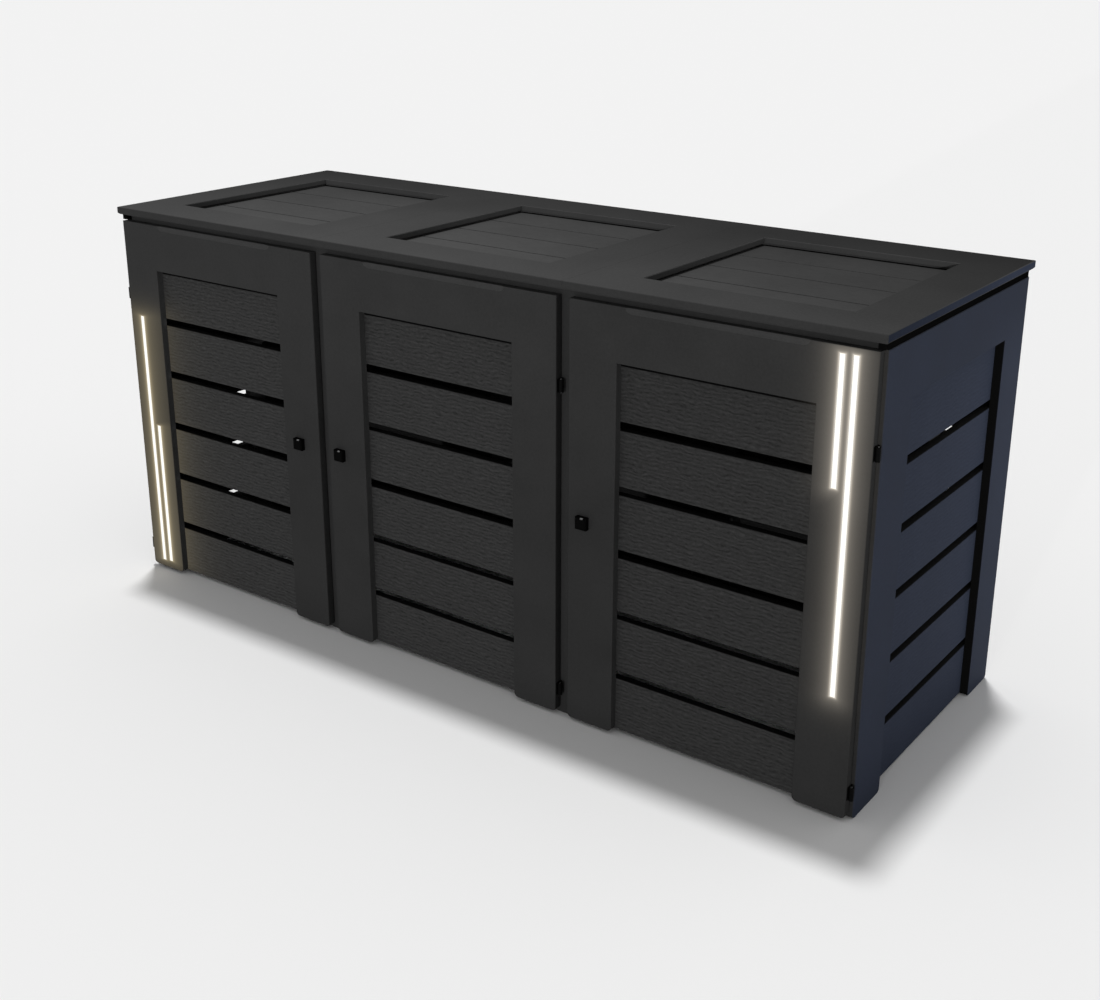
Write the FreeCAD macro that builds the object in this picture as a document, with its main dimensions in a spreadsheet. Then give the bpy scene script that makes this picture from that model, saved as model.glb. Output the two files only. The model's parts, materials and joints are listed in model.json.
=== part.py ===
import FreeCAD, Part
import math
import os
import re
import Sketcher

# Wheelie bin store for three 240 litre bins: a slatted carcass, three doors and three lids.
# Millimetres. X runs along the store, the doors look towards -Y, Z is up and the ground is Z = 0.
# The origin is the middle of the whole store's footprint.

DIMENSIONS = {
    # Bays and doors
    "door_width": 764,
    "door_spacing": 36,
    "door_clearance": 10,
    "door_gap": 3,
    "frame_board": 21,
    "stile_width": 133,
    "top_rail_height": 133,
    "foot_radius": 12,
    "edge_break": 1.5,
    # Slats
    "slat_count": 6,
    "slat_gap": 21,
    "slat_overrun": 9,
    "top_slat_lap": 13,
    "slat_thickness": 20,
    "slat_edge": 1,
    "slat_side_gap": 4,
    "slat_ground_gap": 5,
    "back_slat_ground_gap": 50,
    "door_slat_rise": 2,
    # Carcass
    "side_reveal": 9,
    "side_height": 1095,
    "carcass_depth": 821,
    "side_front_stile": 142,
    "side_back_stile": 131,
    "post_depth": 45,
    "divider_lap": 24,
    "corner_post_width": 21,
    "rail_height": 34.7,
    "cross_rail_width": 60,
    "side_batten_width": 65,
    "side_batten_thickness": 20,
    "rest_width": 16,
    "rest_inset": 2,
    "rest_front": 8,
    "rest_door_gap": 3,
    # Lids
    "lid_thickness": 21,
    "lid_gap": 0.5,
    "lid_side_overhang": 7,
    "lid_front_overhang": 3,
    "lid_back_overhang": 14,
    "lid_lift": 18,
    "lid_seat": 0.3,
    "lid_side_border": 135,
    "lid_front_border": 134,
    "lid_back_border": 144,
    "lid_chamfer": 4,
    "lid_board_count": 4,
    "lid_board_thickness": 19,
    "lid_board_gap": 4,
    "lid_board_lap": 40,
    "lid_board_edge": 0.8,
    "lid_rebate_width": 12,
    "lid_rebate_height": 7,
    # Finger scoop in the top front edge of a door
    "scoop_start": 152,
    "scoop_length": 460,
    "scoop_radius": 40,
    "scoop_rise": 6,
    "scoop_front": 35,
    # Knob
    "knob_size": 32,
    "knob_projection": 15,
    "knob_bevel": 3,
    "knob_height": 541,
    "knob_inset": 45,
    "left_knob_inset": 74,
    # Hinges
    "hinge_height": 33,
    "barrel_radius": 5.5,
    "pin_radius": 2.5,
    "pin_clearance": 0.05,
    "pin_end": 1,
    "leaf_thickness": 1.5,
    "leaf_clearance": 0.4,
    "knuckle_gap": 0.3,
    "door_leaf_width": 16,
    "post_leaf_width": 22,
    "lid_leaf_width": 20,
    "rail_leaf_width": 30,
    "door_hinge_low": 74,
    "door_hinge_drop": 218,
    "lid_hinge_spacing": 480,
    # Magnetic catch
    "catch_width": 12,
    "catch_height": 45,
    "catch_depth": 17,
    "catch_drop": 95,
    "strike_thickness": 1.5,
    "magnet_gap": 0.3,
    # Light strips
    "led_width": 14,
    "led_depth": 8,
    "led_wall": 1,
    "diffuser_thickness": 1.5,
    "strip_inset": 50,
    "short_strip_inset": 81,
    "left_strip_low": 22,
    "left_strip_length": 784,
    "left_short_low": 25,
    "left_short_length": 445,
    "right_strip_drop": 15,
    "right_strip_length": 777,
    "right_short_drop": 16,
    "right_short_length": 294,
    "gland_radius": 8,
    "gland_bore": 3,
    "gland_length": 10,
    "gland_drop": 65,
}

# Places worked out from the dimensions. Depths count from the front faces of the doors.
PLACES = {
    "bay_pitch": "(door_width + door_spacing)",
    "door_height": "(side_height - door_clearance)",
    "post_front": "(frame_board + door_gap)",
    "back_face": "(post_front + carcass_depth)",
    "wall_inner": "(back_face - frame_board)",
    "post_back": "(post_front + post_depth)",
    "rear_post_front": "(wall_inner - post_depth)",
    "middle_depth": "((back_face + lid_back_overhang - knob_projection) / 2)",
    "half_length": "(bay_pitch + door_width / 2 + side_reveal)",
    "half_clear": "(half_length - frame_board)",
    "lid_underside": "(side_height + lid_lift)",
    "rail_top": "(lid_underside - lid_seat)",
    "rail_bottom": "(rail_top - rail_height)",
    "post_width": "(bay_pitch - door_width + 2 * divider_lap)",
    "slat_inset": "(frame_board + corner_post_width - side_reveal + slat_side_gap)",
    "slat_length": "(door_width - 2 * slat_inset)",
    "window_top": "(side_height - top_rail_height)",
    "slat_pitch": "((window_top + slat_overrun - slat_ground_gap) / slat_count)",
    "slat_height": "(slat_pitch - slat_gap)",
    "slat_rows": "(slat_pitch * (slat_count - 1))",
    "top_slat_height": "(window_top + top_slat_lap - slat_ground_gap - slat_rows)",
    "side_slat_length": "(rear_post_front - post_back)",
    "lid_width": "((2 * (half_length + lid_side_overhang) - 2 * lid_gap) / 3)",
    "lid_depth": "(lid_front_overhang + back_face + lid_back_overhang)",
    "lid_window_width": "(lid_width - 2 * lid_side_border)",
    "lid_window_depth": "(lid_depth - lid_front_border - lid_back_border)",
    "lid_board_pitch": "(lid_window_depth / lid_board_count)",
    "scoop_end": "sqrt(scoop_radius * scoop_radius - scoop_front * scoop_front)",
    "leaf_offset": "(barrel_radius + leaf_clearance + leaf_thickness)",
    "door_axis_depth": "(frame_board / 2)",
    "door_hinge_high": "(side_height - door_hinge_drop)",
    "hinge_spacing": "(door_hinge_high - door_hinge_low)",
    "pin_length": "(hinge_height + 2 * pin_end)",
}

BAYS = ("left", "middle", "right")

doc = FreeCAD.newDocument("WheelieBinStore")
sheet = doc.addObject("Spreadsheet::Sheet", "Dimensions")
for row, (alias, value) in enumerate(DIMENSIONS.items(), start=1):
    sheet.set(f"A{row}", alias)
    sheet.set(f"B{row}", str(value))
    sheet.setAlias(f"B{row}", alias)
doc.recompute()

nodes = []


# Turns words of a formula into cells of the sheet, through the named places.
def formula(text):
    def swap(match):
        word = match.group()
        if word in PLACES:
            return formula(PLACES[word])
        return f"Dimensions.{word}" if word in DIMENSIONS else word

    return re.sub(r"[a-z][a-z_0-9]*", swap, str(text))


def bind(thing, **sizes):
    for name, text in sizes.items():
        thing.setExpression(name, formula(text))


# Depths are given from the door fronts and moved so that the footprint is centred.
def place(thing, x, y, z, turn=None):
    if turn:
        thing.Placement = FreeCAD.Placement(FreeCAD.Vector(), turn)
    thing.setExpression("Placement.Base.x", formula(x))
    thing.setExpression("Placement.Base.y", formula(f"{y} - middle_depth"))
    thing.setExpression("Placement.Base.z", formula(z))


def keep(thing, label):
    thing.Label = label
    nodes.append(thing)
    return thing


def new_body(name):
    body = doc.addObject("PartDesign::Body", name)
    body.AllowCompound = True
    return body


# A closed outline on one of the body's own planes; each corner is a pair of formulas.
def outline(body, role, corners, raised="0"):
    sketch = body.newObject("Sketcher::SketchObject", "Outline")
    plane = next(item for item in body.Origin.OriginFeatures if item.Role == role)
    sketch.AttachmentSupport = [(plane, "")]
    sketch.MapMode = "FlatFace"
    sketch.setExpression("AttachmentOffset.Base.z", formula(raised))
    count = len(corners)
    turns = [2 * math.pi * index / count for index in range(count)]
    rough = [FreeCAD.Vector(math.cos(turn), math.sin(turn), 0) for turn in turns]
    for index in range(count):
        sketch.addGeometry(Part.LineSegment(rough[index], rough[(index + 1) % count]))
    for index in range(count):
        sketch.addConstraint(Sketcher.Constraint("Coincident", index, 2, (index + 1) % count, 1))
    for index, corner in enumerate(corners):
        for axis, start, text in zip("XY", rough[index], corner):
            number = sketch.addConstraint(Sketcher.Constraint("Distance" + axis, -1, 1, index, 1, start))
            sketch.renameConstraint(number, f"corner_{axis}{index}")
            sketch.setExpression(f"Constraints.corner_{axis}{index}", formula(text))
    return sketch


# A circle round the body's own origin.
def circle(body, role, radius, raised="0"):
    sketch = body.newObject("Sketcher::SketchObject", "Round")
    plane = next(item for item in body.Origin.OriginFeatures if item.Role == role)
    sketch.AttachmentSupport = [(plane, "")]
    sketch.MapMode = "FlatFace"
    sketch.setExpression("AttachmentOffset.Base.z", formula(raised))
    sketch.addGeometry(Part.Circle(FreeCAD.Vector(), FreeCAD.Vector(0, 0, 1), 1))
    sketch.addConstraint(Sketcher.Constraint("Coincident", 0, 3, -1, 1))
    number = sketch.addConstraint(Sketcher.Constraint("Radius", 0, 1.0))
    sketch.setExpression(f"Constraints[{number}]", formula(radius))
    return sketch


def rectangle(u0, v0, u1, v1):
    return [(u0, v0), (u1, v0), (u1, v1), (u0, v1)]


# Corners of a board's section, counted round from the origin, that lie on its face.
LOW_FACE = (0, 3)
HIGH_FACE = (1, 2)
TOP_FACE = (2, 3)


# A board's section: a rectangle from the origin with the two arrises of its face taken off.
def board_section(width, height, arris, face):
    corners = []
    for number, (u, v) in enumerate(rectangle("0", "0", width, height)):
        if number not in face:
            corners.append((u, v))
            continue
        across = (arris if u == "0" else f"{u} - {arris}", v)
        upward = (u, arris if v == "0" else f"{v} - {arris}")
        corners += [across, upward] if number % 2 else [upward, across]
    return corners


# An inverted U: two stiles that are also the feet, and a top rail.
def arch(width, height, left_stile, right_stile, rail):
    return [
        ("0", "0"),
        (left_stile, "0"),
        (left_stile, f"{height} - {rail}"),
        (f"{width} - {right_stile}", f"{height} - {rail}"),
        (f"{width} - {right_stile}", "0"),
        (width, "0"),
        (width, height),
        ("0", height),
    ]


def pad(body, sketch, length, against=False, middle=False):
    feature = body.newObject("PartDesign::Pad", "Pad")
    feature.Profile = sketch
    feature.SideType = "Symmetric" if middle else "One side"
    feature.Reversed = against
    bind(feature, Length=length)
    return feature


def pocket(body, sketch, length, against=False):
    doc.recompute()
    before = body.Shape.Volume
    feature = body.newObject("PartDesign::Pocket", "Pocket")
    feature.Profile = sketch
    feature.Reversed = against
    bind(feature, Length=length)
    doc.recompute()
    if feature.Shape.Volume >= before:
        raise ValueError(f"a pocket of {body.Label} cuts nothing")
    return feature


def repeat(body, feature, sketch, axis, spacing, count):
    pattern = body.newObject("PartDesign::LinearPattern", "Row")
    pattern.Originals = [feature]
    pattern.Direction = (sketch, [axis])
    bind(pattern, Length=f"({spacing}) * ({count} - 1)", Occurrences=count)
    body.Tip = pattern


# Names the edges of a feature whose bounds meet a rule.
def edges(feature, rule):
    doc.recompute()
    bounds = feature.Shape.BoundBox
    return [f"Edge{n}" for n, edge in enumerate(feature.Shape.Edges, start=1) if rule(edge.BoundBox, bounds)]


def same(first, second):
    return abs(first - second) < 1e-4


def dress(body, kind, feature, rule, size):
    trim = body.newObject(f"PartDesign::{kind}", kind)
    trim.Base = (feature, edges(feature, rule))
    if kind == "Chamfer":
        bind(trim, Size=size)
    else:
        bind(trim, Radius=size)
    return trim


def door_left(bay):
    return f"({bay - 1} * bay_pitch - door_width / 2)"


def divider_middle(side):
    return f"({side} * bay_pitch / 2)"


# Corner edges of the feet: they run through the board's thickness at the lowest level.
def foot_corner_of_front(edge, whole):
    return same(edge.ZMax, whole.ZMin) and same(edge.XLength, 0) and same(edge.YLength, whole.YLength)


def foot_corner_of_side(edge, whole):
    return same(edge.ZMax, whole.ZMin) and same(edge.YLength, 0) and same(edge.XLength, whole.XLength)


def on_front_face(edge, whole):
    return same(edge.YMax, whole.YMin)


def on_back_face(edge, whole):
    return same(edge.YMin, whole.YMax)


def on_low_x(edge, whole):
    return same(edge.XMax, whole.XMin)


def on_high_x(edge, whole):
    return same(edge.XMin, whole.XMax)


# One above the other, slats with their section in YZ run along X, those in XZ along Y.
def slat_wall(name, plane, length, face):
    body = new_body(name)
    along_y = plane == "XZ_Plane"
    section = outline(body, plane, board_section("slat_thickness", "slat_height", "slat_edge", face))
    plain = pad(body, section, length, against=along_y)
    repeat(body, plain, section, "V_Axis", "slat_pitch", "(slat_count - 1)")
    top_corners = board_section("slat_thickness", "top_slat_height", "slat_edge", face)
    top_section = outline(body, plane, [(u, f"{v} + slat_rows") for u, v in top_corners])
    pad(body, top_section, length, against=along_y)
    return body


def box(name, x, y, z, length, width, height):
    block = doc.addObject("Part::Box", name)
    bind(block, Length=length, Width=width, Height=height)
    place(block, x, y, z)
    return block


def group(label, members):
    compound = doc.addObject("Part::Compound", label)
    compound.Links = members
    return keep(compound, label)


# One leaf of a butt hinge. Its own Z is the hinge axis, the plate runs along X at a distance
# along Y, and a neck joins it to one knuckle, in the upper (1) or the lower (-1) half.
def hinge_leaf(name, plate_from, plate_to, distance, half, spacing):
    body = new_body(name)
    plate = outline(
        body, "XY_Plane", rectangle(plate_from, f"{distance} - leaf_thickness", plate_to, distance)
    )
    pad(body, plate, "hinge_height", middle=True)
    middle = f"{half} * hinge_height / 4"
    tall = "hinge_height / 2 - knuckle_gap"
    neck = rectangle("barrel_radius - leaf_thickness", "0", "barrel_radius", distance)
    pad(body, outline(body, "XY_Plane", neck, raised=middle), tall, middle=True)
    pad(body, circle(body, "XY_Plane", "barrel_radius", raised=middle), tall, middle=True)
    bore = circle(body, "XY_Plane", "pin_radius + pin_clearance", raised="-hinge_height")
    pocket(body, bore, "2 * hinge_height", against=True)
    row = body.newObject("PartDesign::LinearPattern", "Row")
    row.TransformMode = "Whole shape"
    row.Direction = (plate, ["N_Axis"])
    bind(row, Length=spacing, Occurrences="2")
    body.Tip = row
    return body


def hinge_pins(name, spacing):
    body = new_body(name)
    rod = circle(body, "XY_Plane", "pin_radius")
    shaft = pad(body, rod, "pin_length", middle=True)
    repeat(body, shaft, rod, "N_Axis", spacing, "2")
    return body


def turned(x_axis, y_axis):
    z_axis = x_axis.cross(y_axis)
    return FreeCAD.Rotation(x_axis, y_axis, z_axis, "XYZ")


X = FreeCAD.Vector(1, 0, 0)
Y = FreeCAD.Vector(0, 1, 0)
Z = FreeCAD.Vector(0, 0, 1)


# The sides stand on the ground and carry their slats on the inner face.
def make_side(name, sign):
    frame = new_body("SideFrame" + name)
    shape = arch("carcass_depth", "side_height", "side_front_stile", "side_back_stile", "top_rail_height")
    board = pad(frame, outline(frame, "YZ_Plane", shape), "frame_board")
    feet = dress(frame, "Fillet", board, foot_corner_of_side, "foot_radius")
    outer = on_low_x if sign < 0 else on_high_x
    dress(frame, "Chamfer", feet, outer, "edge_break")
    x = "-half_length" if sign < 0 else "half_clear"
    place(frame, x, "post_front", "0")
    keep(frame, f"side_frame_{name}")

    face = LOW_FACE if sign < 0 else HIGH_FACE
    slats = slat_wall("SideSlats" + name, "XZ_Plane", "side_slat_length", face)
    x = "-half_clear" if sign < 0 else "half_clear - slat_thickness"
    place(slats, x, "post_back", "slat_ground_gap")
    keep(slats, f"side_slats_{name}")


def make_carcass():
    make_side("left", -1)
    make_side("right", 1)

    battens = []
    for name, x in (
        ("Left", "-half_clear + slat_thickness"),
        ("Right", "half_clear - slat_thickness - side_batten_thickness"),
    ):
        battens.append(
            box(
                "Batten" + name, x, "(post_back + rear_post_front - side_batten_width) / 2",
                "slat_ground_gap", "side_batten_thickness", "side_batten_width",
                "slat_rows + slat_height",
            )
        )
    group("side_battens", battens)

    # Strips on the sides' top edges close the gap under the lids; they pass over the doors' ends.
    rests = []
    step = "(post_front - rest_front)"
    length = "(back_face - rest_front - rest_inset)"
    profile = [
        ("0", "rest_door_gap"),
        (step, "rest_door_gap"),
        (step, "0"),
        (length, "0"),
        (length, "lid_lift - lid_seat"),
        ("0", "lid_lift - lid_seat"),
    ]
    for name, x in (
        ("Left", "-half_length + rest_inset"),
        ("Right", "half_length - rest_inset - rest_width"),
    ):
        rest = new_body("Rest" + name)
        pad(rest, outline(rest, "YZ_Plane", profile), "rest_width")
        place(rest, x, "rest_front", "side_height")
        rests.append(rest)
    group("lid_rests", rests)

    for name, x in (("left", "-half_clear"), ("right", "half_clear - corner_post_width")):
        post = box("Corner" + name, x, "post_front", "0", "corner_post_width", "post_depth", "rail_bottom")
        keep(post, f"corner_post_front_{name}")
    rear = []
    for name, x in (("Left", "-half_clear"), ("Right", "half_clear - corner_post_width")):
        rear.append(
            box("Rear" + name, x, "rear_post_front", "0", "corner_post_width", "post_depth", "rail_bottom")
        )
    group("corner_posts_back", rear)

    rear = []
    for name, side in (("left", -1), ("right", 1)):
        x = f"{divider_middle(side)} - post_width / 2"
        post = box("Divider" + name, x, "post_front", "0", "post_width", "post_depth", "rail_bottom")
        keep(post, f"divider_post_{name}")
        rear.append(
            box("BackPost" + name, x, "rear_post_front", "0", "post_width", "post_depth", "rail_bottom")
        )
    group("back_posts", rear)

    for label, y in (("front_top_rail", "post_front"), ("back_top_rail", "rear_post_front")):
        rail = box("TopRail", "-half_clear", y, "rail_bottom", "2 * half_clear", "post_depth", "rail_height")
        keep(rail, label)
    cross = []
    for x, width in (
        ("-half_clear", "corner_post_width"),
        ("half_clear - corner_post_width", "corner_post_width"),
        ("-bay_pitch / 2 - cross_rail_width / 2", "cross_rail_width"),
        ("bay_pitch / 2 - cross_rail_width / 2", "cross_rail_width"),
    ):
        cross.append(box("Cross", x, "post_back", "rail_bottom", width, "side_slat_length", "rail_height"))
    group("top_cross_rails", cross)


# The back wall is made of one board frame per bay, with the same windows as the doors.
def make_back():
    starts = ("-half_clear", "-bay_pitch / 2", "bay_pitch / 2")
    ends = ("-bay_pitch / 2", "bay_pitch / 2", "half_clear")
    rows = []
    for bay, name in enumerate(BAYS):
        frame = new_body("BackFrame" + name)
        width = f"({ends[bay]} - ({starts[bay]}))"
        left = f"({door_left(bay)} + stile_width - ({starts[bay]}))"
        right = f"({ends[bay]} - {door_left(bay)} - door_width + stile_width)"
        shape = arch(width, "side_height", left, right, "top_rail_height")
        board = pad(frame, outline(frame, "XZ_Plane", shape), "frame_board", against=True)
        dress(frame, "Chamfer", board, on_back_face, "edge_break")
        place(frame, starts[bay], "wall_inner", "0")
        keep(frame, f"back_frame_{name}")

        slats = slat_wall("BackSlats" + name, "YZ_Plane", "slat_length", HIGH_FACE)
        place(slats, f"{door_left(bay)} + slat_inset", "wall_inner - slat_thickness", "back_slat_ground_gap")
        rows.append(slats)
    group("back_slats", rows)


# Light strips are listed as inset from the lit edge, low end above the door's foot, and length.
STRIPS = {
    "left": (
        ("strip_inset", "left_strip_low", "left_strip_length"),
        ("short_strip_inset", "left_short_low", "left_short_length"),
    ),
    "right": (
        ("strip_inset", "(door_height - right_strip_drop - right_strip_length)", "right_strip_length"),
        ("short_strip_inset", "(door_height - right_short_drop - right_short_length)", "right_short_length"),
    ),
}


def strip_middle(name, inset):
    return inset if name == "left" else f"(door_width - {inset})"


# A door is an inverted U board with a hollowed top front edge, and slats across its back.
def make_door(bay, name):
    left = door_left(bay)
    frame = new_body("DoorFrame" + name)
    shape = arch("door_width", "door_height", "stile_width", "stile_width", "top_rail_height")
    board = pad(frame, outline(frame, "XZ_Plane", shape), "frame_board", against=True)
    feet = dress(frame, "Fillet", board, foot_corner_of_front, "foot_radius")
    dress(frame, "Chamfer", feet, on_front_face, "edge_break")

    cove = frame.newObject("PartDesign::SubtractiveCylinder", "Cove")
    cove.Placement = FreeCAD.Placement(FreeCAD.Vector(), FreeCAD.Rotation(Y, 90))
    bind(cove, Radius="scoop_radius", Height="scoop_length - 2 * scoop_end")
    ends = [cove]
    for _ in range(2):
        ends.append(frame.newObject("PartDesign::SubtractiveSphere", "CoveEnd"))
        bind(ends[-1], Radius="scoop_radius")
    starts = ("scoop_start + scoop_end", "scoop_start + scoop_end",
              "scoop_start + scoop_length - scoop_end")
    for tool, x in zip(ends, starts):
        tool.setExpression("Placement.Base.x", formula(x))
        tool.setExpression("Placement.Base.y", formula("-scoop_front"))
        tool.setExpression("Placement.Base.z", formula("door_height + scoop_rise"))

    for inset, low, length in STRIPS.get(name, ()):
        middle = strip_middle(name, inset)
        corners = rectangle(
            f"{middle} - led_width / 2", low, f"{middle} + led_width / 2", f"{low} + {length}"
        )
        pocket(frame, outline(frame, "XZ_Plane", corners), "led_depth")
    place(frame, left, "0", "door_clearance")
    keep(frame, f"door_frame_{name}")

    slats = slat_wall("DoorSlats" + name, "YZ_Plane", "slat_length", LOW_FACE)
    place(slats, f"{left} + slat_inset", "frame_board", "door_clearance + door_slat_rise")
    keep(slats, f"door_slats_{name}")

    knob = new_body("Knob" + name)
    block = pad(knob, outline(knob, "XZ_Plane", rectangle("0", "0", "knob_size", "knob_size")),
                "knob_projection")
    dress(knob, "Chamfer", block, on_front_face, "knob_bevel")
    inset = "door_width - left_knob_inset" if name == "left" else "knob_inset"
    place(knob, f"{left} + {inset} - knob_size / 2", "0", "door_clearance + knob_height - knob_size / 2")
    keep(knob, f"door_knob_{name}")

    sign = -1 if name == "left" else 1
    axis_x = door_axis(bay)
    leaf = hinge_leaf("DoorLeaf" + name, "-door_leaf_width / 2", "door_leaf_width / 2", "leaf_offset", sign,
                      "hinge_spacing")
    place_hinge(leaf, axis_x, turned(Y, X * -sign))
    keep(leaf, f"door_hinge_leaves_{name}")

    post_side = "-catch_width" if name == "left" else "0"
    strike_x = f"{left} + door_width - divider_lap" if name == "left" else f"{left} + divider_lap"
    strike = box("Strike" + name, f"{strike_x} + {post_side}", "frame_board", "side_height - catch_drop",
                 "catch_width", "strike_thickness", "catch_height")
    keep(strike, f"door_strike_{name}")
    magnet = box("Magnet" + name, f"{strike_x} + {post_side}",
                 "frame_board + strike_thickness + magnet_gap", "side_height - catch_drop",
                 "catch_width", "catch_depth", "catch_height")

    post_leaf = hinge_leaf("PostLeaf" + name, "barrel_radius - leaf_thickness",
                           "barrel_radius - leaf_thickness + post_leaf_width",
                           "(post_front - door_axis_depth)", sign, "hinge_spacing")
    place_hinge(post_leaf, axis_x, turned(X * -sign, Y))
    pins = hinge_pins("DoorPins" + name, "hinge_spacing")
    place_hinge(pins, axis_x, turned(X, Y))
    return magnet, post_leaf, pins


def door_axis(bay):
    if BAYS[bay] == "left":
        return f"({door_left(bay)} - leaf_offset)"
    return f"({door_left(bay)} + door_width + leaf_offset)"


# A hinge whose own Z points down starts its row at the upper hinge.
def place_hinge(leaf, x, turn):
    points_down = turn.multVec(Z).z < 0
    level = "door_hinge_high" if points_down else "door_hinge_low"
    place(leaf, x, "door_axis_depth", level, turn)


def make_lights(bay, name):
    left = door_left(bay)
    profiles = []
    lenses = []
    for inset, low, length in STRIPS[name]:
        x = f"{left} + {strip_middle(name, inset)}"
        channel = new_body("Channel" + name)
        half = "led_width / 2"
        inner = "(led_width / 2 - led_wall)"
        section = [
            (f"-{half}", "0"),
            (f"-{inner}", "0"),
            (f"-{inner}", "led_depth - led_wall"),
            (inner, "led_depth - led_wall"),
            (inner, "0"),
            (half, "0"),
            (half, "led_depth"),
            (f"-{half}", "led_depth"),
        ]
        pad(channel, outline(channel, "XY_Plane", section), length)
        place(channel, x, "0", f"door_clearance + {low}")
        profiles.append(channel)
        lens = box("Lens" + name, f"{x} - {inner}", "0", f"door_clearance + {low}", f"2 * {inner}",
                   "diffuser_thickness", length)
        lenses.append(lens)
    group(f"led_profiles_{name}", profiles)
    group(f"led_diffusers_{name}", lenses)

    gland = new_body("Gland" + name)
    nut = [(f"gland_radius * cos({turn})", f"gland_radius * sin({turn})") for turn in range(0, 360, 60)]
    pad(gland, outline(gland, "XZ_Plane", nut), "gland_length", against=True)
    pocket(gland, circle(gland, "XZ_Plane", "gland_bore"), "gland_length")
    x = strip_middle(name, "strip_inset")
    place(gland, f"{left} + {x}", "frame_board", "side_height - gland_drop")
    keep(gland, f"led_gland_{name}")


# Whether an edge lies where a lid meets the next one.
def on_seam(edge, whole, name):
    return on_low_x(edge, whole) and name != "left" or on_high_x(edge, whole) and name != "right"


# A lid is a ring board with a rebate round its window, under which its boards lie.
def make_lid(bay, name):
    left = f"({bay - 1} * (lid_width + lid_gap) - lid_width / 2)"
    frame = new_body("LidFrame" + name)
    outer = outline(frame, "XY_Plane", rectangle("0", "0", "lid_width", "lid_depth"))
    board = pad(frame, outer, "lid_thickness")
    dress(frame, "Chamfer", board,
          lambda edge, whole: same(edge.ZMax, whole.ZMin) and not on_seam(edge, whole, name), "lid_chamfer")
    window = outline(frame, "XY_Plane", rectangle(
        "lid_side_border", "lid_front_border", "lid_width - lid_side_border", "lid_depth - lid_back_border"))
    pocket(frame, window, "lid_thickness", against=True)
    rebate = outline(frame, "XY_Plane", rectangle(
        "lid_side_border - lid_rebate_width", "lid_front_border - lid_rebate_width",
        "lid_width - lid_side_border + lid_rebate_width", "lid_depth - lid_back_border + lid_rebate_width"))
    ring = pocket(frame, rebate, "lid_rebate_height", against=True)
    dress(frame, "Chamfer", ring,
          lambda edge, whole: same(edge.ZMin, whole.ZMax) and not on_seam(edge, whole, name), "edge_break")
    place(frame, left, "-lid_front_overhang", "lid_underside")
    keep(frame, f"lid_frame_{name}")

    boards = new_body("LidBoards" + name)
    width = "(lid_board_pitch - lid_board_gap)"
    corners = board_section(width, "lid_board_thickness", "lid_board_edge", TOP_FACE)
    section = outline(boards, "YZ_Plane", corners)
    plank = pad(boards, section, "lid_window_width + 2 * lid_board_lap")
    repeat(boards, plank, section, "H_Axis", "lid_board_pitch", "lid_board_count")
    place(boards, f"{left} + lid_side_border - lid_board_lap",
          "lid_front_border - lid_front_overhang + lid_board_gap / 2",
          "lid_underside - lid_board_thickness")
    keep(boards, f"lid_boards_{name}")

    middle = f"({left} + lid_width / 2)"
    start = f"{middle} + lid_hinge_spacing / 2"
    depth = "back_face + leaf_offset"
    level = "lid_underside - leaf_offset"
    neck = "barrel_radius - leaf_thickness"
    leaf = hinge_leaf("LidLeaf" + name, neck, f"{neck} + lid_leaf_width", "leaf_offset", 1,
                      "lid_hinge_spacing")
    place(leaf, start, depth, level, turned(-Y, Z))
    keep(leaf, f"lid_hinge_leaves_{name}")
    rail_leaf = hinge_leaf("RailLeaf" + name, neck, f"{neck} + rail_leaf_width", "leaf_offset", -1,
                           "lid_hinge_spacing")
    place(rail_leaf, start, depth, level, turned(-Z, -Y))
    pins = hinge_pins("LidPins" + name, "lid_hinge_spacing")
    place(pins, start, depth, level, turned(-Y, Z))
    return rail_leaf, pins


make_carcass()
make_back()
magnets, post_leaves, door_pins = zip(*(make_door(bay, name) for bay, name in enumerate(BAYS)))
group("catch_magnets", list(magnets))
group("door_hinge_post_leaves", list(post_leaves))
group("door_hinge_pins", list(door_pins))
make_lights(0, "left")
make_lights(2, "right")
rail_leaves, lid_pins = zip(*(make_lid(bay, name) for bay, name in enumerate(BAYS)))
group("lid_hinge_rail_leaves", list(rail_leaves))
group("lid_hinge_pins", list(lid_pins))

doc.recompute()
for item in doc.Objects:
    if "Invalid" in item.State or "Error" in item.State:
        raise RuntimeError(f"{item.Label} is {item.State}")
for node in nodes:
    if node.Shape.isNull() or not node.Shape.isValid():
        raise RuntimeError(f"{node.Label} has no valid shape")

os.makedirs("parts", exist_ok=True)
for node in nodes:
    node.Shape.exportStep(f"parts/{node.Label}.step")
    print(node.Label, len(node.Shape.Solids), round(node.Shape.Volume / 1000))
whole = Part.makeCompound([node.Shape for node in nodes]).BoundBox
print("size", round(whole.XLength, 2), round(whole.YLength, 2), round(whole.ZLength, 2))
print("centre", round(whole.Center.x, 3), round(whole.Center.y, 3), round(whole.ZMin, 3))
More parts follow.
